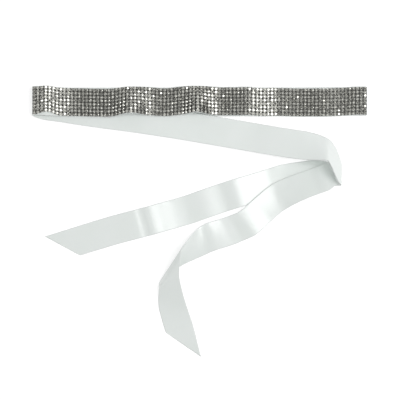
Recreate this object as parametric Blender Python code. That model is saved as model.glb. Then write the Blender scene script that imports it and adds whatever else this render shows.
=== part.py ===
"""A rhinestone sash lying folded on a flat surface: a long satin ribbon with a stone-set band on its middle.

The tables are in millimetres: x to the right, y away, z up from the surface. The ribbon folds under at both
ends of the band. Both its halves run out together below the band, turn back in a loose loop and end as two
tails.
"""

import math

import bpy
import numpy as np

MM = 0.001
WALL = 1.0
HIDDEN_WALL = 1.4
GAP = 0.3
EDGE_ROUND = 0.35
LAYER = WALL + GAP
SEAM = GAP / 2

# The middle of the whole sash on the surface, which becomes the origin.
MIDDLE_X = -0.5
MIDDLE_Y = -27.9

# The stone-set band: its stones stand in straight rows and columns on a thin backing.
BAND_WIDTH = 36.8
BAND_BASE = 1.2
STONE_ROWS = 8
STONE_COLUMNS = 90
STONE_RISE = 1.3
BAND_OVERHANG = 1.4

# Near its left end the band is sewn askew, so a lens of bare ribbon shows below it.
LENS_PLACE = -201.0
LENS_HALF_LENGTH = 18.0
LENS_LOWER_LIFT = 4.6
LENS_UPPER_LIFT = 1.8

# The hidden return stops short of the left fold, and the upper stretch comes out from below the band at its
# sixth row.
HIDDEN_LEFT_X = -199.0
UPPER_ROWS_UNDER_BAND = 5

SATIN_WHITE = (0.88, 0.90, 0.89, 1.0)
RETURN_WHITE = (0.80, 0.82, 0.81, 1.0)
STONE_SILVER = (0.52, 0.52, 0.50, 1.0)

# Each row is one line across the ribbon: where its middle lies, the heading of the line from the far edge to
# the near edge, how far the near edge tilts up, the line's length, and how many strips lead to the next row.
COLUMNS = ("x", "y", "z", "across", "rise", "reach", "strips")

RIGHT_FOLD = [
    (216.6, 130.3, 0.7, -90, 0, 38.0, 1),
    (218.4, 130.3, 0.8, -90, 0, 38.0, 3),
    (219.9, 130.5, 2.2, -90, 0, 38.0, 3),
]

BACKING = [
    (218.4, 130.7, 3.6, -90, 0, 38.0, 2),
    (207.0, 130.7, 3.2, -90, 0, 38.0, 2),
    (191.4, 129.9, 2.4, -90, 0, 38.0, 3),
    (158.4, 128.7, 3.6, -90, 0, 38.0, 3),
    (132.0, 128.7, 2.5, -90, 0, 38.0, 3),
    (99.0, 129.4, 3.0, -90, 0, 38.0, 2),
    (81.8, 129.0, 4.2, -90, 0, 38.0, 3),
    (60.7, 130.4, 6.4, -90, 0, 38.0, 2),
    (46.2, 130.0, 5.6, -90, 0, 38.0, 2),
    (29.0, 130.0, 4.7, -90, 0, 38.0, 2),
    (15.8, 130.7, 5.4, -90, 0, 38.0, 3),
    (-4.0, 132.9, 9.8, -90, 21, 38.0, 3),
    (-26.4, 130.7, 5.6, -90, 0, 38.0, 3),
    (-46.2, 128.8, 4.8, -90, 0, 38.0, 3),
    (-66.0, 130.0, 5.6, -90, 0, 38.0, 3),
    (-91.1, 131.8, 9.6, -90, 20, 38.0, 3),
    (-121.4, 128.0, 5.6, -90, 0, 38.0, 4),
    (-151.8, 128.6, 4.8, -90, 0, 38.0, 4),
    (-184.8, 129.4, 6.2, -90, 0, 38.0, 3),
    (-207.0, 130.7, 7.8, -90, 0, 38.0, 3),
]

LEFT_FOLD = [
    (-219.0, 131.0, 7.5, -90, 0, 38.0, 3),
    (-220.5, 130.6, 5.5, -91, 0, 38.0, 3),
    (-218.6, 129.4, 3.5, -93, 0, 38.0, 3),
]

UPPER_STRETCH = [
    (-205.9, 125.4, 3.4, -98, 0, 38.0, 3),
    (-184.8, 122.1, 3.4, -98, 0, 38.0, 4),
    (-142.6, 115.6, 3.4, -98, 0, 38.0, 5),
    (-79.2, 107.1, 3.4, -98.5, 0, 38.0, 5),
    (-15.8, 97.2, 3.4, -99, 0, 38.0, 5),
    (47.5, 86.3, 5.5, -99.5, 0, 38.0, 5),
    (89.8, 78.9, 11.0, -99, 2, 38.0, 4),
    (121.4, 73.7, 17.0, -98, 6, 38.0, 4),
    (142.6, 70.8, 22.0, -92, 16, 38.2, 4),
]

OUTER_LOOP = [
    (165.0, 67.1, 26.2, -87.0, 35.0, 37.5, 4),
    (171.5, 60.8, 23.5, -93.0, 33.0, 38.8, 5),
    (176.9, 51.8, 20.8, -97.0, 34.7, 39.5, 6),
    (182.0, 40.4, 18.2, -98.8, 38.0, 38.2, 8),
    (186.2, 32.0, 16.4, -96.0, 44.0, 36.4, 12),
    (177.0, 33.2, 12.4, -83.0, 36.5, 37.6, 6),
]

TAIL_1 = [
    (151.8, 33.4, 7.2, -86, 20, 38.2, 4),
    (132.0, 31.5, 3.2, -83, 8, 38.0, 4),
    (110.9, 28.2, 0.5, -77, 0, 38.0, 3),
    (96.4, 23.6, 0.6, -74, 0, 38.0, 4),
    (71.3, 15.8, 2.9, -73, 0, 38.0, 4),
    (46.8, 8.5, 4.9, -72.5, 0, 38.0, 3),
    (37.0, 5.3, 3.0, -72, 0, 38.0, 3),
    (27.7, 2.4, 1.5, -72, 0, 38.0, 4),
    (5.3, -5.5, 2.4, -72.5, 0, 38.0, 4),
    (-17.0, -13.3, 0.6, -73, 0, 38.0, 2),
    (-27.5, -16.3, 1.3, -74, 0, 38.0, 4),
    (-50.2, -22.8, 3.3, -74.5, 0, 38.0, 4),
    (-67.8, -27.8, 5.1, -75, 0, 38.0, 3),
    (-77.6, -30.4, 3.6, -75, 0, 38.0, 2),
    (-85.2, -32.3, 4.1, -75, 0, 38.0, 4),
    (-110.9, -39.1, 2.0, -74, 0, 38.0, 4),
    (-145.2, -49.4, 0.5, -73.5, 0, 38.0, 5),
    (-181.5, -60.7, 0.5, -28.5, 0, 52.5, 0),
]

TAIL_2 = [
    (163.0, 29.0, 16.6, -68, 26, 38.2, 5),
    (149.0, 23.8, 13.0, -68, 26, 38.1, 4),
    (135.3, 18.9, 11.4, -67, 24, 38.0, 4),
    (114.2, 9.9, 7.0, -65, 15, 38.0, 2),
    (106.5, 5.8, 5.0, -63, 9, 37.8, 2),
    (100.3, 2.0, 4.6, -61, 5, 37.5, 4),
    (84.5, -11.2, 6.2, -54, 0, 37.0, 4),
    (62.0, -31.0, 8.6, -54, 0, 37.6, 3),
    (48.0, -37.0, 6.4, -58, 0, 37.8, 2),
    (37.0, -41.3, 6.0, -63, 0, 38.0, 2),
    (24.0, -45.3, 6.4, -68, -1, 38.0, 2),
    (12.1, -49.2, 5.8, -72, -4, 37.8, 3),
    (2.0, -54.8, 6.6, -73, -12, 36.6, 3),
    (-9.0, -62.4, 8.4, -77, -24, 34.3, 4),
]

FOLD_OVER = [
    (-21.8, -71.3, 11.5, -99.7, -30, 36.0, 6),
    (-39.0, -86.1, 14.0, -123.0, -25, 61.6, 6),
    (-40.0, -98.3, 16.0, -130.1, -22, 46.2, 4),
    (-40.9, -108.9, 12.5, -137.4, -24, 40.0, 4),
]

TAIL_2_END = [
    (-39.4, -124.1, 8.6, -156.8, -22, 36.4, 4),
    (-36.7, -137.9, 5.8, -173.8, -15, 37.4, 5),
    (-31.1, -157.7, 3.0, -163.0, -7, 37.9, 4),
    (-28.2, -167.0, 2.4, -162.7, -5, 37.9, 5),
    (-21.6, -191.2, 0.5, -214.4, 0, 55.2, 0),
]

RETURN = [
    (216.6, 130.3, 0.7, -90, 0, 38.0, 3),
    (100.0, 129.6, 0.7, -90, 0, 38.0, 3),
    (0.0, 129.6, 0.7, -90, 0, 38.0, 3),
    (-100.0, 129.4, 0.7, -90, 0, 38.0, 3),
    (HIDDEN_LEFT_X, 129.4, 0.7, -90, 0, 38.0, 0),
]


def edge_pair(row):
    """The two ends of one line across the ribbon, as six numbers."""
    place = dict(zip(COLUMNS, row))
    heading = math.radians(place["across"])
    tilt = math.radians(place["rise"])
    flat = math.cos(tilt)
    half = place["reach"] / 2
    line = np.array([math.cos(heading) * flat, math.sin(heading) * flat, math.sin(tilt)])
    middle = np.array([place["x"] - MIDDLE_X, place["y"] - MIDDLE_Y, place["z"]])
    return np.concatenate([middle - half * line, middle + half * line])


def slopes_of(knots, points):
    """A slope at each knot that never overshoots, so a flat stretch stays flat beside a crest."""
    gaps = np.diff(knots)[:, None]
    rises = np.diff(points, axis=0) / gaps
    slopes = np.empty_like(points)
    slopes[0] = rises[0]
    slopes[-1] = rises[-1]
    before, after = rises[:-1], rises[1:]
    same_way = before * after > 0
    mean = 2 * before * after / np.where(same_way, before + after, 1.0)
    slopes[1:-1] = np.where(same_way, mean, 0.0)
    return slopes


def track_of(pairs, strips):
    """A smooth track through the lines across a ribbon, measured along its middle."""
    pairs = np.array(pairs)
    middles = (pairs[:, :3] + pairs[:, 3:]) / 2
    knots = np.concatenate([[0.0], np.cumsum(np.linalg.norm(np.diff(middles, axis=0), axis=1))])
    return {"knots": knots, "pairs": pairs, "slopes": slopes_of(knots, pairs), "strips": strips}


def track_through(rows):
    return track_of([edge_pair(row) for row in rows], [row[-1] for row in rows])


def line_at(track, place):
    """The line across the ribbon at a place along the track."""
    knots = track["knots"]
    after = int(np.clip(np.searchsorted(knots, place), 1, len(knots) - 1))
    gap = knots[after] - knots[after - 1]
    t = (place - knots[after - 1]) / gap
    start, end = track["pairs"][after - 1], track["pairs"][after]
    start_slope, end_slope = track["slopes"][after - 1] * gap, track["slopes"][after] * gap
    return (
        (2 * t**3 - 3 * t**2 + 1) * start
        + (t**3 - 2 * t**2 + t) * start_slope
        + (3 * t**2 - 2 * t**3) * end
        + (t**3 - t**2) * end_slope
    )


def frame_at(track, place):
    """Far edge, near edge, the unit line between them and the unit normal of the cloth."""
    step = 0.05
    low = max(place - step, track["knots"][0])
    high = min(place + step, track["knots"][-1])
    pair = line_at(track, place)
    ahead = line_at(track, high) - line_at(track, low)
    along = ahead[:3] + ahead[3:]
    across = pair[3:] - pair[:3]
    across /= np.linalg.norm(across)
    normal = np.cross(across, along)
    return pair[:3], pair[3:], across, normal / np.linalg.norm(normal)


def places_between(track, first, last):
    """Places from one row of the track to another, a hair inside both so that a seam stays open."""
    knots = track["knots"]
    places = []
    for row in range(first, last):
        places += list(np.linspace(knots[row], knots[row + 1], track["strips"][row], endpoint=False))
    places.append(knots[last])
    places[0] += SEAM
    places[-1] -= SEAM
    return places


def moved(track, first, last, offset):
    """The track's lines from one row to another, moved along the cloth's normal."""
    pairs = []
    for row in range(first, last + 1):
        far, near, _, normal = frame_at(track, track["knots"][row])
        pairs.append(np.concatenate([far + offset * normal, near + offset * normal]))
    return pairs


def volume_of(points, faces):
    total = 0.0
    for face in faces:
        first = points[face[0]]
        for second, third in zip(face[1:-1], face[2:]):
            total += np.dot(first, np.cross(points[second], points[third]))
    return total


def material_of(name, colour, roughness, metallic=0.0):
    material = bpy.data.materials.get(name) or bpy.data.materials.new(name)
    material.use_nodes = True
    shader = material.node_tree.nodes["Principled BSDF"]
    shader.inputs["Base Color"].default_value = colour
    shader.inputs["Roughness"].default_value = roughness
    shader.inputs["Metallic"].default_value = metallic
    return material


def satin():
    return material_of("satin_ribbon", SATIN_WHITE, 0.35)


def solid_object(name, points, faces, material):
    """A closed mesh object in the sash's collection, with its faces turned outwards."""
    points = np.array(points)
    if volume_of(points, faces) < 0:
        faces = [face[::-1] for face in faces]
    mesh = bpy.data.meshes.new(name)
    mesh.from_pydata([tuple(point * MM) for point in points], [], [tuple(face) for face in faces])
    mesh.materials.append(material)
    mesh.shade_smooth()
    mesh.set_sharp_from_angle(angle=math.radians(35))
    built = bpy.data.objects.new(name, mesh)
    bpy.data.collections["rhinestone_sash"].objects.link(built)
    return built


def cloth_wall(name, track, places, material, wall=WALL, offset=0.0):
    """A stretch of ribbon: a wall with slightly rounded edges, lofted through the lines across it.

    With an offset it is a layer beside the track's own, its lines moved along the cloth's normal.
    """
    half = wall / 2
    points = []
    for place in places:
        far, near, across, normal = frame_at(track, place)
        far = far + normal * offset
        near = near + normal * offset
        points += [
            far + normal * half,
            near + normal * half,
            near + across * EDGE_ROUND,
            near - normal * half,
            far - normal * half,
            far - across * EDGE_ROUND,
        ]
    sides = 6
    faces = [tuple(range(sides))[::-1]]
    for ring in range(len(places) - 1):
        for side in range(sides):
            here = ring * sides + side
            beside = ring * sides + (side + 1) % sides
            # Both faces of the wall are split along the same diagonal, so a twisted wall keeps its thickness.
            if side < sides / 2:
                faces += [(here, beside, beside + sides), (here, beside + sides, here + sides)]
            else:
                faces += [(here, beside, here + sides), (beside, beside + sides, here + sides)]
    last = (len(places) - 1) * sides
    faces.append(tuple(range(last, last + sides)))
    return solid_object(name, points, faces, material)


def lens_share(x):
    """How much of the lens of bare ribbon shows at this place, from 0 to 1."""
    away = abs(x + MIDDLE_X - LENS_PLACE) / LENS_HALF_LENGTH
    return 0.5 + 0.5 * math.cos(math.pi * away) if away < 1 else 0.0


def band_column(track, place, start, end):
    """The band's two edges at a place, and the way up. Past the backing's ends the band runs straight on."""
    inside = min(max(place, start), end)
    far, near, across, normal = frame_at(track, inside)
    along = np.cross(normal, across)
    middle = (far + near) / 2 + along * (place - inside)
    share = lens_share(middle[0])
    upper = middle - across * (BAND_WIDTH / 2 + share * LENS_UPPER_LIFT)
    lower = middle + across * (BAND_WIDTH / 2 - share * LENS_LOWER_LIFT)
    return upper, lower, -normal


def column_places(track, first, last):
    """Where the columns of stones begin and end."""
    knots = track["knots"]
    return np.linspace(knots[first] - BAND_OVERHANG, knots[last] + BAND_OVERHANG, STONE_COLUMNS + 1)


def backing_places(track, first, last):
    """The ribbon under the stones has its rings where their columns are, so the two bend alike."""
    start, end = track["knots"][first] + SEAM, track["knots"][last] - SEAM
    between = [place for place in column_places(track, first, last) if start + 1 < place < end - 1]
    return [start] + between + [end]


def stone_band(track, first, last):
    """The band: a thin backing with a low four-sided stone raised in each cell of its rows and columns."""
    knots = track["knots"]
    places = column_places(track, first, last)
    under = WALL / 2 + GAP
    corners_per_column = STONE_ROWS + 1
    corners, underside, rims = [], [], []
    for place in places:
        upper, lower, up = band_column(track, place, knots[first], knots[last])
        rims.append((upper, lower, up))
        for row in range(corners_per_column):
            corners.append(upper + (lower - upper) * row / STONE_ROWS + up * (under + BAND_BASE))
        underside += [upper + up * under, lower + up * under]
    peaks = []
    for column in range(STONE_COLUMNS):
        for row in range(STONE_ROWS):
            a = column * corners_per_column + row
            cell = (a, a + 1, a + 1 + corners_per_column, a + corners_per_column)
            middle = sum(corners[corner] for corner in cell) / 4
            peaks.append(middle + rims[column][2] * STONE_RISE)
    first_peak = len(corners)
    first_under = first_peak + len(peaks)
    points = corners + peaks + underside
    faces = []
    for column in range(STONE_COLUMNS):
        for row in range(STONE_ROWS):
            a = column * corners_per_column + row
            b = a + 1
            c = b + corners_per_column
            d = a + corners_per_column
            peak = first_peak + column * STONE_ROWS + row
            faces += [(a, b, peak), (b, c, peak), (c, d, peak), (d, a, peak)]
        top = column * corners_per_column
        bottom = first_under + 2 * column
        faces += [(bottom, bottom + 2, bottom + 3), (bottom, bottom + 3, bottom + 1)]
        faces.append((top, top + corners_per_column, bottom + 2, bottom))
        faces.append((top + STONE_ROWS, bottom + 1, bottom + 3, top + corners_per_column + STONE_ROWS))
    last_top = STONE_COLUMNS * corners_per_column
    last_bottom = first_under + 2 * STONE_COLUMNS
    faces.append((first_under, first_under + 1) + tuple(range(STONE_ROWS, -1, -1)))
    faces.append((last_bottom + 1, last_bottom) + tuple(range(last_top, last_top + corners_per_column)))
    return solid_object("stone_band", points, faces, material_of("rhinestones", STONE_SILVER, 0.2, 0.6))


def united(base, other):
    """One body from two that overlap."""
    joined = base.modifiers.new("join", "BOOLEAN")
    joined.operation = "UNION"
    joined.object = other
    other.hide_render = True
    other.display_type = "WIRE"


def build_sash():
    outer_rows = RIGHT_FOLD + BACKING + LEFT_FOLD + UPPER_STRETCH + OUTER_LOOP + TAIL_1
    outer = track_through(outer_rows)
    backing_start = len(RIGHT_FOLD)
    left_fold_start = backing_start + len(BACKING)
    upper_start = left_fold_start + len(LEFT_FOLD)
    stretch_exit = upper_start + UPPER_ROWS_UNDER_BAND
    loop_start = upper_start + len(UPPER_STRETCH)
    loop_end = loop_start + len(OUTER_LOOP) - 1
    outer_end = len(outer_rows) - 1

    def ribbon(name, first, last, offset=0.0):
        cloth_wall(name, outer, places_between(outer, first, last), satin(), WALL, offset)

    stone_band(outer, backing_start, left_fold_start)
    ribbon("right_fold", 0, backing_start)
    under_stones = backing_places(outer, backing_start, left_fold_start)
    cloth_wall("backing_ribbon", outer, under_stones, satin())
    ribbon("left_fold", left_fold_start, upper_start)
    ribbon("upper_stretch", upper_start, loop_start)
    ribbon("outer_loop", loop_start, loop_end)
    ribbon("tail_1", loop_end, outer_end)
    ribbon("lower_stretch", stretch_exit, loop_start, -LAYER)
    ribbon("inner_loop", loop_start, loop_end, -LAYER)

    tail_rows = TAIL_2 + FOLD_OVER + TAIL_2_END
    inner = track_of(
        moved(outer, loop_end - 1, loop_end, -LAYER) + [edge_pair(row) for row in tail_rows],
        outer["strips"][loop_end - 1 : loop_end + 1] + [row[-1] for row in tail_rows],
    )
    fold_start = 2 + len(TAIL_2)
    fold_end = fold_start + len(FOLD_OVER)
    inner_end = len(inner["knots"]) - 1
    cloth_wall("tail_2", inner, places_between(inner, 1, fold_start), satin())
    cloth_wall("fold_over", inner, places_between(inner, fold_start, fold_end), satin())
    cloth_wall("tail_2_end", inner, places_between(inner, fold_end, inner_end), satin())

    hidden = material_of("satin_ribbon_hidden", RETURN_WHITE, 0.5)
    back = track_through(RETURN)
    layers = cloth_wall("hidden_layers", back, places_between(back, 0, len(RETURN) - 1), hidden, HIDDEN_WALL)
    second_places = places_between(outer, upper_start, stretch_exit)
    second_drop = WALL / 2 + GAP + HIDDEN_WALL / 2
    second = cloth_wall("hidden_second_layer", outer, second_places, hidden, HIDDEN_WALL, -second_drop)
    united(layers, second)


def main():
    for old in list(bpy.data.objects):
        bpy.data.objects.remove(old)
    sash = bpy.data.collections.new("rhinestone_sash")
    bpy.context.scene.collection.children.link(sash)
    build_sash()


main()
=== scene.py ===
"""The looks of the rhinestone sash.

Thin satin shells take the place of the ribbon's walls, and stones in metal cups take the place of the band.
"""

import math

import bpy
import numpy as np
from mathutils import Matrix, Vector


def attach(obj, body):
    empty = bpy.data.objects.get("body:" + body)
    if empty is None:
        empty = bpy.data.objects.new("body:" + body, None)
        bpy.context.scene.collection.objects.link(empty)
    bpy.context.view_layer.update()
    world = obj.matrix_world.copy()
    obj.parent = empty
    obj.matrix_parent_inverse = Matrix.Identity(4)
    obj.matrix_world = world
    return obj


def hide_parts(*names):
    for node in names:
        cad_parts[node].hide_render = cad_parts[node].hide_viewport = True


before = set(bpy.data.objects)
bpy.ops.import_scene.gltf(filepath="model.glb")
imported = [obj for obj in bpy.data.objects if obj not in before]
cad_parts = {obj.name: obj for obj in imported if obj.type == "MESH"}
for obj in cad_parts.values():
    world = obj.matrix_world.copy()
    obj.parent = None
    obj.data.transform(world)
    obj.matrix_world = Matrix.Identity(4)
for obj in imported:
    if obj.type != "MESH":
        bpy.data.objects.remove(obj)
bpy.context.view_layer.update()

# Lengths are in millimetres and angles in degrees. Only the camera and the lights are placed in metres.
MM = 0.001

# Places in the tables are measured from the middle of the picture. The sash's own middle lies here.
MIDDLE_X = -0.5
MIDDLE_Y = -27.9

# The ribbon. The solids' walls are 1 mm thick and the real ribbon is thinner, so its shell settles lower. Its
# two halves lie a layer apart where one follows the other.
RIBBON_WIDTH = 38.0
LAYER = 1.3
SHELL = 0.42
SETTLE = 0.26

# The spacing of the shell's lines, how far past a tight fold they aren't smoothed, how often the others are,
# and how far each way a track's direction is measured.
STEP_ALONG = 1.5
STEP_IN_FOLD = 0.35
FOLD_MARGIN = 5
SMOOTHING_PASSES = 3
PROBE = 0.05

# Where the shell's points lie across the ribbon, closer together at its woven edges.
ACROSS_SHARES = (0.0, 0.024, 0.07, 0.15, 0.26, 0.38, 0.5, 0.62, 0.74, 0.85, 0.93, 0.976, 1.0)

# The woven edge is a little thicker than the cloth, rounded off at the very rim, and ripples slightly. The
# thicknesses are shares of the shell's.
SELVEDGE = 0.9
SELVEDGE_REACH = SELVEDGE * 1.5
SELVEDGE_THICKNESS = 1.12
RIM_REACH = SELVEDGE * 0.4
RIM_THICKNESS = 0.62
EDGE_RIPPLE = 0.16
RIPPLE_WAVES = 5
RIPPLE_SHORTEST = 17
RIPPLE_LONGEST = 60
RIPPLE_FADE = 6
OUTER_SEED = 11
INNER_SEED = 23

# The band of stones.
BAND_WIDTH = 36.8
BAND_OVERHANG = 1.4
BAND_LIFT = 0.8
STONE_ROWS = 8
STONE_COLUMNS = 90
NET_TOP = 0.5
NET_BOTTOM = -0.25
NET_INSET = 0.25

# A stone. The shares are of its radius and of its crown's height.
STONE_RADIUS = 2.02
STONE_CROWN = 0.95
GIRDLE_HEIGHT = 1.25
TABLE_SHARE = 0.45
KITE_SHARE = 0.8
KITE_RISE = 0.52
FOOT_SHARE = 0.86
FOOT_DEPTH = 0.55
STONE_SIDES = 8

# The facets of a stone that share a painted shade: the table is 0, and the others are numbered from these.
STAR_FACET = 1
KITE_FACET = 9
GIRDLE_FACET = 17
WALL_FACET = 25

# A cup and its claws. Its ring is drawn by radius and height, and a claw by radius, height, half its width
# and its thickness.
CUP_RADIUS = 2.24
CUP_SIDES = 12
CUP_RING = (
    (CUP_RADIUS * 0.9, NET_TOP * 0.6),
    (CUP_RADIUS, GIRDLE_HEIGHT * 0.75),
    (CUP_RADIUS, GIRDLE_HEIGHT * 0.95),
    (STONE_RADIUS * 0.99, GIRDLE_HEIGHT * 0.95),
    (STONE_RADIUS * 0.88, GIRDLE_HEIGHT * 0.55),
)
CLAWS = 4
CLAW_SECTIONS = (
    (CUP_RADIUS + 0.12, GIRDLE_HEIGHT * 0.5, 0.42, 0.30),
    (CUP_RADIUS + 0.10, GIRDLE_HEIGHT * 1.05, 0.36, 0.30),
    (STONE_RADIUS * 0.84, GIRDLE_HEIGHT + STONE_CROWN * 0.62, 0.18, 0.16),
)

# How far stones and cups lean by chance, and how far they all lean to the right and to the near side with
# the small waves of their net, at places along the band.
STONE_SEED = 5
STONE_TILT = 4.2
CUP_TILT = 0.8
LEAN_COLUMNS = ("x", "right", "near")
STONE_LEANS = (
    (-224, 7.0, 0.0),
    (-205, 10.0, 0.0),
    (-178, 9.0, 0.0),
    (-166, 2.0, 0.0),
    (-158, -3.0, 0.0),
    (-114, -3.0, 0.0),
    (-100, 0.0, 4.0),
    (-93, 8.0, 15.0),
    (-79, 6.0, 8.0),
    (-65, 8.0, 0.0),
    (-60, -3.0, 0.0),
    (-14, -2.0, 4.0),
    (-6, 5.0, 15.0),
    (6, 3.0, 8.0),
    (20, 8.0, 0.0),
    (25, -3.0, 0.0),
    (68, -2.0, 0.0),
    (73, 9.0, 0.0),
    (96, 8.0, 0.0),
    (102, -3.0, 0.0),
    (150, -6.0, 0.0),
    (185, -6.0, 0.0),
    (218, -4.0, 0.0),
)

# Painted reflection: by chance each facet gets a lit, half shaded or shaded colour for what it mirrors: name,
# colour and the share of facets.
PAINTED_FACET_SHADES = (
    ("rhinestone_painted_lit", (0.86, 0.86, 0.80), 0.35),
    ("rhinestone_painted_half_shade", (0.50, 0.50, 0.46), 0.32),
    ("rhinestone_painted_shade", (0.17, 0.17, 0.155), 0.33),
)

# Near the left end both edges of the band bow towards the far side, so a lens of bare ribbon shows below it.
LENS_PLACE = -201.0
LENS_HALF_LENGTH = 18.0
LENS_LOWER_LIFT = 4.6
LENS_UPPER_LIFT = 1.8

# The satin: white with a faint green cast that drifts between two tones, and a duller woven edge, which fades
# in between two distances from the rim.
SATIN_COLOUR = (0.74, 0.765, 0.75)
SATIN_TONES = ((0.722, 0.768, 0.742, 1), (0.748, 0.785, 0.768, 1))
SATIN_EDGE_TONE = (0.70, 0.73, 0.715, 1)
SATIN_ROUGHNESS = 0.29
SATIN_EDGE_ROUGHNESS = 0.52
EDGE_FADE_OUTER = SELVEDGE * 0.7
EDGE_FADE_INNER = SELVEDGE * 1.3
WEAVE_DEPTH = 0.03
WEAVE_STRENGTH = 0.25

# Noise on the cloth: its scale along and across the ribbon, per metre, and its detail.
TONE_NOISE = (22, 14, 3)
THREAD_NOISE = (2600, 60, 2)
WARP_NOISE = (120, 2400, 1)

# How glass and metals shine. Their roughness drifts between low and high.
GLASS_FINISH = {"metallic": 0.9, "roughness": 0.06, "scale": 900, "low": 0.03, "high": 0.09}
CUP_FINISH = {"metallic": 1.0, "roughness": 0.3, "scale": 700, "low": 0.22, "high": 0.4}
NET_FINISH = {"metallic": 0.6, "roughness": 0.5, "scale": 700, "low": 0.4, "high": 0.6}
CUP_COLOUR = (0.46, 0.46, 0.43)
# The net is a real metal net, coloured nearly black as painted shade in the gaps between the cups.
NET_SHADE_COLOUR = (0.045, 0.045, 0.042)

# The studio. The picture looks straight down from about 2.5 m, and this much of the surface fills its width.
CAMERA_HEIGHT = 2.5
FRAME_WIDTH = 0.528
SENSOR = 36.0
KEY_PLACE = (0.96, 0.257, 1.733)
KEY_SIZE = (1.067, 1.4)
KEY_POWER = 19.8
FILL_PLACE = (-2.9, 0.3, 5.2)
FILL_SIZE = (3.2, 4.2)
FILL_POWER = 36
SKY_STRENGTH = 0.565
FLOOR_TONE = 0.55
FLOOR_GLOW = 0.55
FLOOR_REACH = 9000
FLOOR_HEIGHT = -0.05

# Each row is one line across the ribbon: where its middle lies, the heading of the line from the far edge to
# the near edge, how far the near edge tilts up, and the line's length.
COLUMNS = ("x", "y", "z", "across", "rise", "reach")

RIGHT_FOLD = [
    (216.6, 130.3, 0.7, -90, 0, 38.0),
    (218.4, 130.3, 0.8, -90, 0, 38.0),
    (219.9, 130.5, 2.2, -90, 0, 38.0),
]

BACKING = [
    (218.4, 130.7, 3.6, -90, 0, 38.0),
    (207.0, 130.7, 3.2, -90, 0, 38.0),
    (191.4, 129.9, 2.4, -90, 0, 38.0),
    (158.4, 128.7, 3.6, -90, 0, 38.0),
    (132.0, 128.7, 2.5, -90, 0, 38.0),
    (99.0, 129.4, 3.0, -90, 0, 38.0),
    (81.8, 129.0, 4.2, -90, 0, 38.0),
    (60.7, 130.4, 6.4, -90, 0, 38.0),
    (46.2, 130.0, 5.6, -90, 0, 38.0),
    (29.0, 130.0, 4.7, -90, 0, 38.0),
    (15.8, 130.7, 5.4, -90, 0, 38.0),
    (-4.0, 132.9, 9.8, -90, 21, 38.0),
    (-26.4, 130.7, 5.6, -90, 0, 38.0),
    (-46.2, 128.8, 4.8, -90, 0, 38.0),
    (-66.0, 130.0, 5.6, -90, 0, 38.0),
    (-91.1, 131.8, 9.6, -90, 20, 38.0),
    (-121.4, 128.0, 5.6, -90, 0, 38.0),
    (-151.8, 128.6, 4.8, -90, 0, 38.0),
    (-184.8, 129.4, 6.2, -90, 0, 38.0),
    (-207.0, 130.7, 7.8, -90, 0, 38.0),
]

LEFT_FOLD = [
    (-219.0, 131.0, 7.5, -90, 0, 38.0),
    (-220.5, 130.6, 5.5, -91, 0, 38.0),
    (-218.6, 129.4, 3.5, -93, 0, 38.0),
]

UPPER_STRETCH = [
    (-205.9, 125.4, 3.4, -98, 0, 38.0),
    (-184.8, 122.1, 3.4, -98, 0, 38.0),
    (-142.6, 115.6, 3.4, -98, 0, 38.0),
    (-79.2, 107.1, 3.4, -98.5, 0, 38.0),
    (-15.8, 97.2, 3.4, -99, 0, 38.0),
    (47.5, 86.3, 5.4, -99.5, 0, 38.0),
    (66.0, 83.1, 6.6, -99.3, 1, 38.0),
    (89.8, 78.9, 11.0, -99, 2, 38.0),
    (121.4, 73.7, 17.0, -98, 6, 38.0),
    (142.6, 70.8, 22.0, -92, 16, 38.2),
]

OUTER_LOOP = [
    (165.0, 67.1, 26.2, -87.0, 35.0, 37.5),
    (171.5, 60.8, 23.5, -93.0, 33.0, 38.8),
    (176.9, 51.8, 20.8, -97.0, 34.7, 39.5),
    (182.0, 40.4, 18.2, -98.8, 38.0, 38.2),
    (186.2, 32.0, 16.4, -96.0, 44.0, 36.4),
    (177.0, 34.0, 12.4, -83.0, 36.5, 38.6),
]

TAIL_1 = [
    (151.8, 34.3, 7.2, -86, 20, 39.4),
    (132.0, 31.5, 3.2, -83, 8, 38.0),
    (110.9, 28.2, 0.5, -77, 0, 38.0),
    (96.4, 23.6, 0.6, -74, 0, 38.0),
    (71.3, 15.8, 2.9, -73, 0, 38.0),
    (46.8, 8.5, 5.2, -72.5, 0, 38.0),
    (38.0, 5.6, 3.1, -72, 0, 38.0),
    (31.0, 3.4, 1.3, -72, 0, 38.0),
    (5.3, -5.5, 2.4, -72.5, 0, 38.0),
    (-17.0, -13.3, 0.6, -73, 0, 38.0),
    (-29.0, -16.8, 1.2, -74, 0, 38.0),
    (-50.2, -22.8, 3.5, -74.5, 0, 38.0),
    (-66.5, -27.4, 5.3, -75, 0, 38.0),
    (-74.5, -29.5, 3.1, -75, 0, 38.0),
    (-84.0, -32.0, 4.0, -75, 0, 38.0),
    (-110.9, -39.1, 2.0, -74, 0, 38.0),
    (-145.2, -49.4, 0.5, -73.5, 0, 38.0),
    (-181.5, -60.7, 0.5, -28.5, 0, 52.5),
]

TAIL_2 = [
    (163.0, 29.0, 16.6, -68, 26, 38.2),
    (149.0, 23.8, 13.0, -68, 26, 38.1),
    (135.3, 18.9, 11.4, -67, 24, 38.0),
    (114.2, 9.9, 7.0, -65, 15, 38.0),
    (106.5, 5.8, 5.0, -63, 9, 37.8),
    (100.3, 2.0, 4.6, -61, 5, 37.5),
    (84.5, -11.2, 6.2, -54, 0, 37.0),
    (61.0, -31.4, 8.7, -54, 0, 37.6),
    (54.0, -34.6, 7.2, -56, 0, 37.7),
    (46.0, -37.8, 5.4, -59, 0, 37.8),
    (37.0, -41.3, 5.3, -63, 0, 38.0),
    (26.0, -44.7, 5.9, -67, -1, 38.0),
    (16.0, -47.8, 6.4, -70, -3, 37.9),
    (7.0, -51.8, 5.3, -72, -7, 37.4),
    (1.0, -55.5, 5.7, -73, -12, 36.5),
    (-9.0, -62.4, 8.2, -77, -24, 34.3),
]

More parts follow.
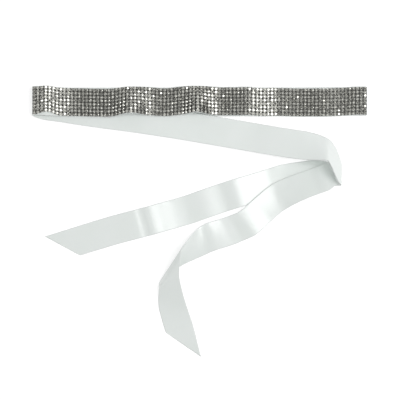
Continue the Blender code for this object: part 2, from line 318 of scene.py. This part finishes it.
FOLD_OVER = [
    (-21.8, -71.3, 11.5, -99.7, -30, 36.0),
    (-39.0, -86.1, 14.0, -123.0, -25, 61.6),
    (-40.0, -98.3, 16.0, -130.1, -22, 46.2),
    (-40.9, -108.9, 12.5, -137.4, -24, 40.0),
]

TAIL_2_END = [
    (-39.4, -124.1, 8.6, -156.8, -22, 36.4),
    (-36.7, -137.9, 5.8, -173.8, -15, 37.4),
    (-31.1, -157.7, 3.6, -163.0, -10, 37.8),
    (-28.2, -167.0, 3.0, -162.7, -8, 37.9),
    (-21.6, -191.2, 0.5, -214.4, 0, 55.2),
]

# The hidden half runs back below the band and folds there, before it comes out below the upper stretch.
RETURN = [
    (216.6, 130.3, 0.7, -90, 0, 38.0),
    (100.0, 129.6, 0.5, -90, 0, 38.0),
    (-100.0, 129.4, 0.5, -90, 0, 38.0),
    (-203.0, 129.2, 0.5, -90, 0, 38.0),
]

HIDDEN_FOLD = [
    (-207.6, 128.4, 0.7, -92, 0, 38.0),
    (-208.6, 127.2, 1.4, -95, 0, 38.0),
]

# Rows of the outer half, counted from its hidden end: where three of its stretches start and its loop ends.
BACKING_START = len(RIGHT_FOLD)
LEFT_FOLD_START = BACKING_START + len(BACKING)
UPPER_START = LEFT_FOLD_START + len(LEFT_FOLD)
LOOP_END = UPPER_START + len(UPPER_STRETCH) + len(OUTER_LOOP) - 1


# Lines across the ribbon

def edge_pair(row):
    """The two ends of one line across the ribbon, as six numbers."""
    place = dict(zip(COLUMNS, row))
    heading = math.radians(place["across"])
    tilt = math.radians(place["rise"])
    flat = math.cos(tilt)
    half = place["reach"] / 2
    line = np.array([math.cos(heading) * flat, math.sin(heading) * flat, math.sin(tilt)])
    middle = np.array([place["x"] - MIDDLE_X, place["y"] - MIDDLE_Y, place["z"]])
    return np.concatenate([middle - half * line, middle + half * line])


def slopes_of(knots, points):
    """A slope at each knot that never overshoots, so a flat stretch stays flat beside a crest."""
    gaps = np.diff(knots)[:, None]
    rises = np.diff(points, axis=0) / gaps
    slopes = np.empty_like(points)
    slopes[0] = rises[0]
    slopes[-1] = rises[-1]
    before, after = rises[:-1], rises[1:]
    same_way = before * after > 0
    mean = 2 * before * after / np.where(same_way, before + after, 1.0)
    slopes[1:-1] = np.where(same_way, mean, 0.0)
    return slopes


def track_of(pairs):
    """A smooth track through the lines across a ribbon, measured along its middle."""
    pairs = np.array(pairs)
    middles = (pairs[:, :3] + pairs[:, 3:]) / 2
    knots = np.concatenate([[0.0], np.cumsum(np.linalg.norm(np.diff(middles, axis=0), axis=1))])
    return {"knots": knots, "pairs": pairs, "slopes": slopes_of(knots, pairs)}


def line_at(track, place):
    """The line across the ribbon at a place along the track."""
    knots = track["knots"]
    after = int(np.clip(np.searchsorted(knots, place), 1, len(knots) - 1))
    gap = knots[after] - knots[after - 1]
    t = (place - knots[after - 1]) / gap
    start, end = track["pairs"][after - 1], track["pairs"][after]
    start_slope, end_slope = track["slopes"][after - 1] * gap, track["slopes"][after] * gap
    return (
        (2 * t**3 - 3 * t**2 + 1) * start
        + (t**3 - 2 * t**2 + t) * start_slope
        + (3 * t**2 - 2 * t**3) * end
        + (t**3 - t**2) * end_slope
    )


def frame_at(track, place):
    """Far edge, near edge, the unit line between them and the unit normal of the cloth."""
    low = max(place - PROBE, track["knots"][0])
    high = min(place + PROBE, track["knots"][-1])
    pair = line_at(track, place)
    ahead = line_at(track, high) - line_at(track, low)
    along = ahead[:3] + ahead[3:]
    across = pair[3:] - pair[:3]
    across /= np.linalg.norm(across)
    normal = np.cross(across, along)
    return pair[:3], pair[3:], across, normal / np.linalg.norm(normal)


def moved(track, first, last, offset):
    """The track's lines from one row to another, moved along the cloth's normal."""
    pairs = []
    for row in range(first, last + 1):
        far, near, _, normal = frame_at(track, track["knots"][row])
        pairs.append(np.concatenate([far + offset * normal, near + offset * normal]))
    return pairs


def smoothed(lines, fixed):
    """The ribbon's lines with the kinks between table rows softened. The fixed ones stay as they are."""
    free = (~fixed)[:, None]
    for _ in range(SMOOTHING_PASSES):
        mean = lines.copy()
        mean[1:-1] = (lines[:-2] + 2 * lines[1:-1] + lines[2:]) / 4
        lines = np.where(free, mean, lines)
    return lines


def lines_of(track, folds):
    """Closely spaced lines across the ribbon. folds are the ranges of rows with tight folds."""
    knots = track["knots"]
    places = []
    for row in range(len(knots) - 1):
        tight = any(first <= row < last for first, last in folds)
        step = STEP_IN_FOLD if tight else STEP_ALONG
        count = max(2, int(math.ceil((knots[row + 1] - knots[row]) / step)))
        places += list(np.linspace(knots[row], knots[row + 1], count, endpoint=False))
    places.append(knots[-1])
    places = np.array(places)
    lines = np.array([line_at(track, place) for place in places])
    fixed = np.zeros(len(places), bool)
    for first, last in folds:
        fixed |= (places > knots[first] - FOLD_MARGIN) & (places < knots[last] + FOLD_MARGIN)
    fixed[[0, -1]] = True
    return smoothed(lines, fixed)


def unit(vectors):
    """Vectors scaled to a length of one."""
    return vectors / np.linalg.norm(vectors, axis=-1, keepdims=True)


def turned(axis, angle):
    """The matrix that turns about an axis."""
    x, y, z = axis
    c, s = math.cos(angle), math.sin(angle)
    cross = np.array([[0, -z, y], [z, 0, -x], [-y, x, 0]])
    return np.eye(3) * c + cross * s + np.outer(axis, axis) * (1 - c)


# The ribbon's shell

def bend_noise(values, seed):
    """A smooth uneven line from -1 to 1: a few sine waves of unlike lengths."""
    random = np.random.default_rng(seed)
    total = np.zeros_like(values)
    for _ in range(RIPPLE_WAVES):
        length = random.uniform(RIPPLE_SHORTEST, RIPPLE_LONGEST)
        total += np.sin(2 * math.pi * (values / length + random.random()))
    return total / RIPPLE_WAVES


def lengths_along(edge):
    """How far each point of an edge lies along it."""
    return np.concatenate([[0], np.cumsum(np.linalg.norm(np.diff(edge, axis=0), axis=1))])


def ribbon_surface(lines, seed):
    """Points of the ribbon's middle surface, its normals, and the cloth's own lengths along it."""
    far, near = lines[:, :3], lines[:, 3:]
    across = unit(near - far)
    along = np.gradient((far + near) / 2, axis=0)
    normal = unit(np.cross(across, along))
    shares = np.array(ACROSS_SHARES)
    points = far[:, None] * (1 - shares[:, None]) + near[:, None] * shares[:, None]
    lengths = lengths_along(far)[:, None] * (1 - shares) + lengths_along(near)[:, None] * shares
    ripple_far = bend_noise(lengths[:, 0], seed)
    ripple_near = bend_noise(lengths[:, -1], seed + 1)
    ripple = np.where(shares < 0.5, ripple_far[:, None], ripple_near[:, None])
    ripple = ripple * np.abs(2 * shares - 1) ** RIPPLE_FADE * EDGE_RIPPLE
    return points + normal[:, None] * ripple[..., None], normal, lengths


def mesh_object(name, points, faces, materials, uvs=None, smooth=True):
    """A mesh object from points in millimetres. Faces all have the same number of corners."""
    points = np.asarray(points, np.float64) * MM
    faces = np.asarray(faces, np.int32)
    mesh = bpy.data.meshes.new(name)
    mesh.vertices.add(len(points))
    mesh.vertices.foreach_set("co", points.ravel())
    corners = faces.shape[1]
    mesh.loops.add(faces.size)
    mesh.loops.foreach_set("vertex_index", faces.ravel())
    mesh.polygons.add(len(faces))
    mesh.polygons.foreach_set("loop_start", np.arange(0, faces.size, corners, dtype=np.int32))
    mesh.update(calc_edges=True)
    if uvs is not None:
        layer = mesh.uv_layers.new(name="cloth")
        layer.data.foreach_set("uv", np.asarray(uvs, np.float32)[faces.ravel()].ravel())
    mesh.validate()
    if smooth:
        mesh.shade_smooth()
    else:
        mesh.shade_flat()
    for material in materials:
        mesh.materials.append(material)
    built = bpy.data.objects.new(name, mesh)
    bpy.context.scene.collection.objects.link(built)
    return built


def shell_faces(rings, sides):
    """The faces round a shell of closed rings, and those that close its two ends."""
    index = np.arange(rings * sides).reshape(rings, sides)
    beside = np.roll(index, -1, axis=1)
    quads = np.stack([index[:-1], beside[:-1], beside[1:], index[1:]], axis=-1).reshape(-1, 4)
    corners = [[step, step + 1, sides - 2 - step, sides - 1 - step] for step in range(sides // 2 - 1)]
    first_end = [index[0, quad[::-1]] for quad in corners]
    last_end = [index[-1, quad] for quad in corners]
    return np.concatenate([quads, np.array(first_end + last_end)])


def ribbon_shell(name, lines, seed, material):
    """A ribbon as a thin closed shell, and the length of its longer edge in metres."""
    points, normal, lengths = ribbon_surface(lines, seed)
    shares = np.array(ACROSS_SHARES)
    from_edge = np.minimum(shares, 1 - shares) * RIBBON_WIDTH
    woven = np.where(from_edge < SELVEDGE_REACH, SELVEDGE_THICKNESS, 1.0)
    half = SHELL / 2 * np.where(from_edge < RIM_REACH, RIM_THICKNESS, woven)
    upper = points + normal[:, None] * half[:, None]
    lower = points - normal[:, None] * half[:, None]
    ring = np.concatenate([upper, lower[:, ::-1]], axis=1)
    width_share = np.concatenate([shares, shares[::-1]])
    along = np.concatenate([lengths, lengths[:, ::-1]], axis=1)
    uvs = np.stack([along, np.broadcast_to(width_share * RIBBON_WIDTH, along.shape)], axis=-1) * MM
    faces = shell_faces(*along.shape)
    built = mesh_object(name, ring.reshape(-1, 3), faces, [material], uvs.reshape(-1, 2))
    built.location.z = -SETTLE * MM
    return built, float(lengths.max()) * MM


# The stones, their cups and their net

def lens_share(x):
    """How much of the lens of bare ribbon shows at this place, from 0 to 1."""
    away = abs(x + MIDDLE_X - LENS_PLACE) / LENS_HALF_LENGTH
    if away >= 1:
        return 0.0
    return 0.5 + 0.5 * math.cos(math.pi * away)


def band_column(track, place, start, end):
    """The band's two edges on the ribbon at a place, and the way up. Past the backing it runs straight on."""
    inside = min(max(place, start), end)
    far, near, across, normal = frame_at(track, inside)
    along = np.cross(normal, across)
    middle = (far + near) / 2 + along * (place - inside)
    share = lens_share(middle[0])
    upper = middle - across * (BAND_WIDTH / 2 + share * LENS_UPPER_LIFT)
    lower = middle + across * (BAND_WIDTH / 2 - share * LENS_LOWER_LIFT)
    return upper, lower, -normal


def ring_points(radius, height, count, turn):
    """Evenly spaced points of a level ring, turned by a share of their spacing."""
    angles = (np.arange(count) + turn) * 2 * math.pi / count
    return [(radius * math.cos(angle), radius * math.sin(angle), height) for angle in angles]


def stone_template():
    """A round stone: table, stars, kites and girdle facets, and a short wall down into its cup."""
    top = GIRDLE_HEIGHT + STONE_CROWN
    bottom = GIRDLE_HEIGHT - FOOT_DEPTH
    rim_sides = 2 * STONE_SIDES
    table = ring_points(STONE_RADIUS * TABLE_SHARE, top, STONE_SIDES, 0.5)
    kites = ring_points(STONE_RADIUS * KITE_SHARE, GIRDLE_HEIGHT + STONE_CROWN * KITE_RISE, STONE_SIDES, 0.0)
    girdle = ring_points(STONE_RADIUS, GIRDLE_HEIGHT, rim_sides, 0.0)
    foot = ring_points(STONE_RADIUS * FOOT_SHARE, bottom, rim_sides, 0.0)
    points = table + kites + girdle + foot + [(0, 0, top), (0, 0, bottom)]
    kite_at = STONE_SIDES
    girdle_at = kite_at + STONE_SIDES
    foot_at = girdle_at + rim_sides
    centre = foot_at + rim_sides
    under = centre + 1
    faces = []
    facets = []
    for k in range(STONE_SIDES):
        after = (k + 1) % STONE_SIDES
        before = (k + STONE_SIDES - 1) % STONE_SIDES
        faces.append((k, after, centre))
        faces.append((k, kite_at + after, after))
        faces.append((k, girdle_at + 2 * k + 1, kite_at + after))
        faces.append((k, kite_at + k, girdle_at + 2 * k + 1))
        faces.append((kite_at + k, girdle_at + 2 * k, girdle_at + 2 * k + 1))
        faces.append((kite_at + after, girdle_at + 2 * k + 1, girdle_at + (2 * k + 2) % rim_sides))
        facets += [0, STAR_FACET + k, KITE_FACET + k, KITE_FACET + before, GIRDLE_FACET + k, GIRDLE_FACET + k]
    for k in range(rim_sides):
        after = (k + 1) % rim_sides
        faces.append((girdle_at + k, foot_at + k, foot_at + after))
        faces.append((girdle_at + k, foot_at + after, girdle_at + after))
        faces.append((foot_at + after, foot_at + k, under))
        facets += [WALL_FACET] * 3
    return np.array(points), np.array(faces), np.array(facets)


def wall_between(lower, upper, count):
    """Triangles between two rings of points, given where each ring starts."""
    faces = []
    for k in range(count):
        after = (k + 1) % count
        faces.append((lower + k, lower + after, upper + after))
        faces.append((lower + k, upper + after, upper + k))
    return faces


def claw_points(angle):
    """A claw's sections, four points each, from the cup's wall up to its tip over the stone."""
    out = np.array([math.cos(angle), math.sin(angle), 0])
    side = np.array([-out[1], out[0], 0])
    points = []
    for radius, height, half, thick in CLAW_SECTIONS:
        for shift, inward in ((-half, 0), (half, 0), (half, thick), (-half, thick)):
            points.append(tuple(out * (radius - inward) + side * shift + np.array([0, 0, height])))
    return points


def cup_template():
    """A metal cup: a flared ring with four claws that bend in over the stone."""
    points = []
    for radius, height in CUP_RING:
        points += ring_points(radius, height, CUP_SIDES, 0.5)
    faces = []
    for level in range(len(CUP_RING)):
        above = (level + 1) % len(CUP_RING)
        faces += wall_between(level * CUP_SIDES, above * CUP_SIDES, CUP_SIDES)
    for claw in range(CLAWS):
        foot = len(points)
        points += claw_points(math.pi / 4 + claw * math.pi / 2)
        faces += wall_between(foot, foot + 4, 4)
        faces += wall_between(foot + 4, foot + 8, 4)
        faces += [(foot + 8, foot + 9, foot + 10), (foot + 8, foot + 10, foot + 11)]
        faces += [(foot + 2, foot + 1, foot), (foot + 3, foot + 2, foot)]
    return np.array(points), np.array(faces)


def leans_at(x):
    """How far a stone here leans to the right and to the near side."""
    table = dict(zip(LEAN_COLUMNS, zip(*STONE_LEANS)))
    return [math.radians(np.interp(x + MIDDLE_X, table["x"], table[side])) for side in ("right", "near")]


def stone_frame(corner, beyond, column, next_column):
    """A stone's place between two columns of the net, and the three directions of its cup."""
    upper, lower, up = column
    next_upper, next_lower, _ = next_column
    middle = (corner + beyond) / 2
    along = unit(beyond - corner)
    across = unit((lower - upper) + (next_lower - next_upper))
    rise = unit(np.cross(across, along))
    if np.dot(rise, up) < 0:
        rise = -rise
    across = np.cross(rise, along)
    right, near = leans_at(middle[0])
    lean = turned(along, -near) @ turned(across, -right)
    along, across, rise = lean @ along, lean @ across, lean @ rise
    return middle + rise * BAND_LIFT, along, across, rise


def band_layout(track):
    """The net's columns along the band, and the frame of every stone."""
    start, end = track["knots"][BACKING_START], track["knots"][LEFT_FOLD_START]
    places = np.linspace(start - BAND_OVERHANG, end + BAND_OVERHANG, STONE_COLUMNS + 1)
    columns = [band_column(track, place, start, end) for place in places]
    frames = []
    for column, next_column in zip(columns[:-1], columns[1:]):
        for row in range(STONE_ROWS):
            share = (row + 0.5) / STONE_ROWS
            corner = column[0] + (column[1] - column[0]) * share
            beyond = next_column[0] + (next_column[1] - next_column[0]) * share
            frames.append(stone_frame(corner, beyond, column, next_column))
    return columns, frames


def paint_facet_shades(stones, facets, count, random):
    """Paints each facet of each stone lit, half shaded or shaded by chance, as painted reflection. The wall
    below the crown is always painted the deepest shade, as shade inside the cup.
    """
    shares = [share for _, _, share in PAINTED_FACET_SHADES]
    picks = random.choice(len(PAINTED_FACET_SHADES), size=(count, facets.max() + 1), p=shares)
    picks[:, -1] = len(PAINTED_FACET_SHADES) - 1
    stones.data.polygons.foreach_set("material_index", picks[:, facets].ravel().astype(np.int32))


def copies(name, points, faces, frames, materials, random, tilt, spin):
    """One joined mesh of a template at every frame, each copy a little tilted and turned by chance."""
    every_point, every_face = [], []
    for number, (place, along, across, rise) in enumerate(frames):
        basis = np.stack([along, across, rise])
        level_axis = unit(random.normal(size=3) * (1, 1, 0))
        lean = turned(level_axis, math.radians(abs(random.normal()) * tilt))
        twist = turned((0, 0, 1), random.uniform(0, spin))
        every_point.append(points @ twist.T @ lean.T @ basis + place)
        every_face.append(faces + number * len(points))
    return mesh_object(name, np.concatenate(every_point), np.concatenate(every_face), materials, smooth=False)


def net_mesh(name, columns, material):
    """The thin net of metal that holds the cups, as one flexible strip with a small rim."""
    points = []
    for upper, lower, up in columns:
        across = unit(lower - upper)
        top = up * (BAND_LIFT + NET_TOP)
        low = up * (BAND_LIFT + NET_BOTTOM)
        points += [
            upper + across * NET_INSET + top,
            lower - across * NET_INSET + top,
            lower - across * NET_INSET + low,
            upper + across * NET_INSET + low,
        ]
    faces = []
    for column in range(len(columns) - 1):
        for k in range(4):
            here, beside = column * 4 + k, column * 4 + (k + 1) % 4
            faces.append((here, here + 4, beside + 4, beside))
    last = (len(columns) - 1) * 4
    faces.append((0, 1, 2, 3))
    faces.append((last + 3, last + 2, last + 1, last))
    return mesh_object(name, points, faces, [material], smooth=False)


# Materials

def principled(name, colour, sockets):
    """A material with a colour and values for the named sockets of its shader."""
    material = bpy.data.materials.new(name)
    material.use_nodes = True
    shader = material.node_tree.nodes["Principled BSDF"]
    shader.inputs["Base Color"].default_value = (*colour, 1.0)
    for socket, value in sockets.items():
        shader.inputs[socket].default_value = value
    return material, shader


def ranged(tree, source, sockets):
    """A value mapped to another range."""
    node = tree.nodes.new("ShaderNodeMapRange")
    for socket, value in sockets.items():
        node.inputs[socket].default_value = value
    tree.links.new(source, node.inputs["Value"])
    return node.outputs["Result"]


def mixed(tree, share, first, second):
    """A colour between two others. The first is a colour or the output of a node."""
    node = tree.nodes.new("ShaderNodeMix")
    node.data_type = "RGBA"
    tree.links.new(share, node.inputs["Factor"])
    node.inputs["B"].default_value = second
    if isinstance(first, tuple):
        node.inputs["A"].default_value = first
    else:
        tree.links.new(first, node.inputs["A"])
    return node.outputs["Result"]


def maths(tree, operation, first, second=None):
    """A sum, difference or other operation on a node's output and a number or another output."""
    node = tree.nodes.new("ShaderNodeMath")
    node.operation = operation
    tree.links.new(first, node.inputs[0])
    if isinstance(second, float):
        node.inputs[1].default_value = second
    elif second is not None:
        tree.links.new(second, node.inputs[1])
    return node.outputs[0]


def cloth_noise(tree, uv, scale_along, scale_across, detail):
    """Noise stretched along or across the ribbon. The scales are per metre of cloth."""
    mapping = tree.nodes.new("ShaderNodeMapping")
    mapping.inputs["Scale"].default_value = (scale_along, scale_across, 1)
    tree.links.new(uv, mapping.inputs["Vector"])
    noise = tree.nodes.new("ShaderNodeTexNoise")
    noise.inputs["Scale"].default_value = 1.0
    noise.inputs["Detail"].default_value = detail
    tree.links.new(mapping.outputs["Vector"], noise.inputs["Vector"])
    return noise.outputs["Fac"]


def selvedge_share(tree, uv):
    """0 on the cloth and 1 on its woven edges."""
    split = tree.nodes.new("ShaderNodeSeparateXYZ")
    tree.links.new(uv, split.inputs[0])
    from_middle = maths(tree, "SUBTRACT", split.outputs["Y"], RIBBON_WIDTH * MM / 2)
    away = maths(tree, "ABSOLUTE", from_middle)
    start = (RIBBON_WIDTH / 2 - EDGE_FADE_INNER) * MM
    end = (RIBBON_WIDTH / 2 - EDGE_FADE_OUTER) * MM
    return ranged(tree, away, {"From Min": start, "From Max": end})


def satin_material():
    """White double-faced satin: fine crosswise threads, a dull woven edge and slow changes of tone."""
    material, shader = principled(
        "satin",
        SATIN_COLOUR,
        {
            "Roughness": 0.3,
            "Specular IOR Level": 1.0,
            "IOR": 1.6,
            "Anisotropic": 0.4,
            "Anisotropic Rotation": 0.25,
            "Sheen Weight": 0.05,
            "Subsurface Weight": 0.02,
            "Subsurface Scale": 0.002,
            "Subsurface Radius": (1.0, 1.0, 1.0),
        },
    )
    tree = material.node_tree
    links = tree.links
    uv_map = tree.nodes.new("ShaderNodeUVMap")
    uv_map.uv_map = "cloth"
    uv = uv_map.outputs["UV"]

    tangent = tree.nodes.new("ShaderNodeTangent")
    tangent.direction_type = "UV_MAP"
    tangent.uv_map = "cloth"
    links.new(tangent.outputs["Tangent"], shader.inputs["Tangent"])

    rim = selvedge_share(tree, uv)
    slow = cloth_noise(tree, uv, *TONE_NOISE)
    tone = ranged(tree, slow, {"From Min": 0.3, "From Max": 0.7})
    colour = mixed(tree, rim, mixed(tree, tone, *SATIN_TONES), SATIN_EDGE_TONE)
    links.new(colour, shader.inputs["Base Color"])
    rough = ranged(tree, rim, {"To Min": SATIN_ROUGHNESS, "To Max": SATIN_EDGE_ROUGHNESS})
    links.new(rough, shader.inputs["Roughness"])

    threads = cloth_noise(tree, uv, *THREAD_NOISE)
    warp = cloth_noise(tree, uv, *WARP_NOISE)
    bump = tree.nodes.new("ShaderNodeBump")
    bump.inputs["Strength"].default_value = WEAVE_STRENGTH
    bump.inputs["Distance"].default_value = WEAVE_DEPTH * MM
    links.new(maths(tree, "ADD", threads, warp), bump.inputs["Height"])
    links.new(bump.outputs["Normal"], shader.inputs["Normal"])
    return material


def polished(name, colour, metallic, roughness, scale, low, high):
    """A metal or foiled glass whose roughness drifts between two values."""
    material, shader = principled(name, colour, {"Metallic": metallic, "Roughness": roughness})
    tree = material.node_tree
    place = tree.nodes.new("ShaderNodeTexCoord")
    noise = tree.nodes.new("ShaderNodeTexNoise")
    noise.inputs["Scale"].default_value = scale
    noise.inputs["Detail"].default_value = 3
    tree.links.new(place.outputs["Object"], noise.inputs["Vector"])
    uneven = ranged(tree, noise.outputs["Fac"], {"To Min": low, "To Max": high})
    tree.links.new(uneven, shader.inputs["Roughness"])
    return material


# The pieces

def build_ribbons():
    """The two halves of the ribbon with their lengths, and the track of the outer one."""
    satin = satin_material()
    outer_rows = RIGHT_FOLD + BACKING + LEFT_FOLD + UPPER_STRETCH + OUTER_LOOP + TAIL_1
    outer = track_of([edge_pair(row) for row in outer_rows])
    outer_lines = lines_of(outer, [(0, BACKING_START), (LEFT_FOLD_START, UPPER_START)])
    outer_piece, outer_length = ribbon_shell("satin_outer_half", outer_lines, OUTER_SEED, satin)

    # The inner half follows the outer one, one layer below it, from the left fold to the end of the loop.
    hidden = [edge_pair(row) for row in RETURN + HIDDEN_FOLD]
    shared = moved(outer, UPPER_START, LOOP_END, -LAYER)
    tail = [edge_pair(row) for row in TAIL_2 + FOLD_OVER + TAIL_2_END]
    inner = track_of(hidden + shared + tail)
    inner_lines = lines_of(inner, [(len(RETURN) - 1, len(RETURN) + 2)])
    inner_piece, inner_length = ribbon_shell("satin_inner_half", inner_lines, INNER_SEED, satin)
    return outer, outer_piece, outer_length, inner_piece, inner_length


def build_band(track):
    """The stones, their cups and the net that holds them."""
    # The glasses are lit, half shaded and shaded copies of one glass: painted reflection on the facets.
    facet_shade_glasses = [polished(name, colour, **GLASS_FINISH) for name, colour, _ in PAINTED_FACET_SHADES]
    silver = polished("cup_metal", CUP_COLOUR, **CUP_FINISH)
    # The net's material is painted shade for the gaps between the stones.
    net_shade = polished("net_metal_painted_shade", NET_SHADE_COLOUR, **NET_FINISH)
    random = np.random.default_rng(STONE_SEED)
    columns, frames = band_layout(track)
    points, faces, facets = stone_template()
    stones = copies("rhinestones", points, faces, frames, facet_shade_glasses, random, STONE_TILT, math.pi)
    paint_facet_shades(stones, facets, len(frames), random)
    cups = copies("stone_cups", *cup_template(), frames, [silver], random, CUP_TILT, 0.0)
    return stones, cups, net_mesh("stone_net", columns, net_shade)


def area_light(name, place, size, power):
    """A soft light that points at the middle of the sash."""
    data = bpy.data.lights.new(name, "AREA")
    data.shape = "RECTANGLE"
    data.size, data.size_y = size
    data.energy = power
    light = bpy.data.objects.new(name, data)
    light.location = place
    light.rotation_euler = (-Vector(place)).to_track_quat("-Z", "Y").to_euler()
    light.visible_camera = False
    bpy.context.scene.collection.objects.link(light)
    return light


def build_camera(scene):
    """A camera that looks straight down on the middle of the picture."""
    lens = bpy.data.cameras.new("camera")
    lens.sensor_width = SENSOR
    lens.lens = SENSOR * CAMERA_HEIGHT / FRAME_WIDTH
    camera = bpy.data.objects.new("camera", lens)
    camera.location = (-MIDDLE_X * MM, -MIDDLE_Y * MM, CAMERA_HEIGHT)
    scene.collection.objects.link(camera)
    scene.camera = camera


def build_studio(scene):
    """A key light from the right, a fill from the left, an even pale sky and a pale floor."""
    area_light("softbox_right", KEY_PLACE, KEY_SIZE, KEY_POWER)
    fill = area_light("fill_left", FILL_PLACE, FILL_SIZE, FILL_POWER)
    fill.visible_glossy = False

    world = bpy.data.worlds.new("studio")
    world.use_nodes = True
    sky = world.node_tree.nodes["Background"]
    sky.inputs["Color"].default_value = (1, 1, 1, 1)
    sky.inputs["Strength"].default_value = SKY_STRENGTH
    scene.world = world

    material, _ = principled(
        "floor",
        (FLOOR_TONE, FLOOR_TONE, FLOOR_TONE),
        {
            "Roughness": 0.9,
            "Specular IOR Level": 0.0,
            "Emission Color": (1, 1, 1, 1),
            "Emission Strength": FLOOR_GLOW,
        },
    )
    corners = ((-1, -1), (1, -1), (1, 1), (-1, 1))
    points = [(x * FLOOR_REACH, y * FLOOR_REACH, FLOOR_HEIGHT) for x, y in corners]
    mesh_object("floor", points, [(0, 1, 2, 3)], [material])
    scene.view_settings.view_transform = "Standard"


outer_track, outer_piece, outer_length, inner_piece, inner_length = build_ribbons()
stones, cups, net = build_band(outer_track)

for piece in (outer_piece, inner_piece, stones, cups, net):
    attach(piece, "root")
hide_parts("right_fold", "backing_ribbon", "left_fold", "upper_stretch", "outer_loop", "tail_1")
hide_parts("hidden_layers", "lower_stretch", "inner_loop", "tail_2", "fold_over", "tail_2_end")
for piece in (stones, cups, net):
    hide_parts("stone_band")

build_camera(bpy.context.scene)
build_studio(bpy.context.scene)
